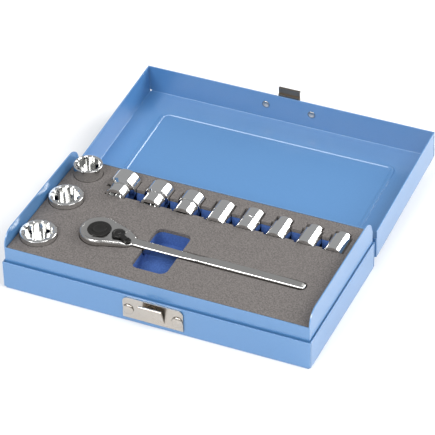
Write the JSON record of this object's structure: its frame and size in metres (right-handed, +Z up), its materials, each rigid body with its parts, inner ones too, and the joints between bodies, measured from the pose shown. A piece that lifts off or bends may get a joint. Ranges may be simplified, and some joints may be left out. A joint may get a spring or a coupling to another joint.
{
  "type": "socket wrench set in case",
  "caption": "Hinged sheet-steel case with a foam insert holding twelve-point sockets and a reversible square-drive ratchet, with a front snap latch.",
  "frame": {"origin": "middle of the underside of the base tray", "axes": "+X along the case to the right, +Y to the hinge at the back, +Z up"},
  "size_m": [0.26, 0.2835, 0.0512],
  "materials": {
    "blue_paint": "satin baked enamel",
    "nickel": "bright nickel plate",
    "chrome": "polished chrome plate",
    "satin_chrome": "satin chrome plate",
    "black_oxide": "black oxide",
    "plain_steel": "bright steel",
    "grey_foam": "closed-cell foam, matt",
    "blue_foam": "closed-cell foam, matt"
  },
  "bodies": {
    "case": {"base_tray": "blue_paint", "riser_liner": "blue_paint", "hinge_pin": "plain_steel", "foam_top_left": "grey_foam", "foam_top_back": "grey_foam", "foam_top_front": "grey_foam", "foam_middle_left": "blue_foam", "foam_middle_back": "blue_foam", "foam_middle_front": "blue_foam", "foam_floor_left": "blue_foam", "foam_floor_back": "blue_foam", "foam_floor_front": "blue_foam", "latch_plate": "nickel", "latch_rivet_left": "nickel", "latch_rivet_right": "nickel"},
    "latch_leaf": {"latch_leaf": "nickel"},
    "lid": {"lid": "blue_paint", "lid_catch": "nickel", "catch_rivet_left": "nickel", "catch_rivet_right": "nickel"},
    "socket_standing_1": {"socket_standing_1": "chrome"},
    "socket_standing_2": {"socket_standing_2": "chrome"},
    "socket_standing_3": {"socket_standing_3": "chrome"},
    "socket_row_1": {"socket_row_1": "chrome"},
    "socket_row_2": {"socket_row_2": "chrome"},
    "socket_row_3": {"socket_row_3": "chrome"},
    "socket_row_4": {"socket_row_4": "chrome"},
    "socket_row_5": {"socket_row_5": "chrome"},
    "socket_row_6": {"socket_row_6": "chrome"},
    "socket_row_7": {"socket_row_7": "chrome"},
    "socket_row_8": {"socket_row_8": "chrome"},
    "ratchet": {"ratchet_body": "satin_chrome", "ratchet_cover_plate": "satin_chrome", "ratchet_cover_screw_left": "plain_steel", "ratchet_cover_screw_right": "plain_steel"},
    "drive": {"ratchet_drive_gear": "black_oxide"},
    "release_button": {"ratchet_release_button": "black_oxide"},
    "detent_ball": {"ratchet_detent_ball": "plain_steel"},
    "lever": {"ratchet_reversing_lever": "black_oxide"},
    "pawl": {"ratchet_pawl": "plain_steel"}
  },
  "joints": [
    {"name": "lid_hinge", "type": "hinge", "parent": "case", "child": "lid", "pos_m": [0, 0.0688, 0.0293], "axis": [1, 0, 0], "range_deg": [0, 176]},
    {"name": "latch_leaf_flex", "type": "hinge", "parent": "case", "child": "latch_leaf", "pos_m": [0, -0.0696, 0.0086], "axis": [1, 0, 0], "range_deg": [0, 10], "stiffness_Nm_per_rad": 0.3},
    {"name": "socket_standing_1_lift", "type": "slide", "parent": "case", "child": "socket_standing_1", "axis": [0, 0, 1], "range_m": [0, 0.06]},
    {"name": "socket_standing_2_lift", "type": "slide", "parent": "case", "child": "socket_standing_2", "axis": [0, 0, 1], "range_m": [0, 0.06]},
    {"name": "socket_standing_3_lift", "type": "slide", "parent": "case", "child": "socket_standing_3", "axis": [0, 0, 1], "range_m": [0, 0.06]},
    {"name": "socket_row_1_lift", "type": "slide", "parent": "case", "child": "socket_row_1", "axis": [0, 0, 1], "range_m": [0, 0.06]},
    {"name": "socket_row_2_lift", "type": "slide", "parent": "case", "child": "socket_row_2", "axis": [0, 0, 1], "range_m": [0, 0.06]},
    {"name": "socket_row_3_lift", "type": "slide", "parent": "case", "child": "socket_row_3", "axis": [0, 0, 1], "range_m": [0, 0.06]},
    {"name": "socket_row_4_lift", "type": "slide", "parent": "case", "child": "socket_row_4", "axis": [0, 0, 1], "range_m": [0, 0.06]},
    {"name": "socket_row_5_lift", "type": "slide", "parent": "case", "child": "socket_row_5", "axis": [0, 0, 1], "range_m": [0, 0.06]},
    {"name": "socket_row_6_lift", "type": "slide", "parent": "case", "child": "socket_row_6", "axis": [0, 0, 1], "range_m": [0, 0.06]},
    {"name": "socket_row_7_lift", "type": "slide", "parent": "case", "child": "socket_row_7", "axis": [0, 0, 1], "range_m": [0, 0.06]},
    {"name": "socket_row_8_lift", "type": "slide", "parent": "case", "child": "socket_row_8", "axis": [0, 0, 1], "range_m": [0, 0.06]},
    {"name": "ratchet_lift", "type": "slide", "parent": "case", "child": "ratchet", "axis": [0, 0, 1], "range_m": [0, 0.06]},
    {"name": "drive_spin", "type": "hinge", "parent": "ratchet", "child": "drive", "pos_m": [-0.0676, -0.0201, 0.036], "axis": [0, 0, 1], "continuous": true},
    {"name": "release_button_press", "type": "slide", "parent": "drive", "child": "release_button", "axis": [0, 0, -1], "range_m": [0, 0.0018], "stiffness_N_per_m": 400},
    {"name": "detent_ball_spring", "type": "slide", "parent": "drive", "child": "detent_ball", "axis": [-1, 0, 0], "range_m": [0, 0.0008], "stiffness_N_per_m": 500},
    {"name": "lever_throw", "type": "hinge", "parent": "ratchet", "child": "lever", "pos_m": [-0.0508, -0.0201, 0.036], "axis": [0, 0, 1], "range_deg": [0, 60]},
    {"name": "pawl_rock", "type": "hinge", "parent": "ratchet", "child": "pawl", "pos_m": [-0.0508, -0.0201, 0.036], "axis": [0, 0, 1], "range_deg": [0, 6]}
  ],
  "couplings": [
    {"joint": "pawl_rock", "follows": "lever_throw", "ratio": 0.1}
  ]
}
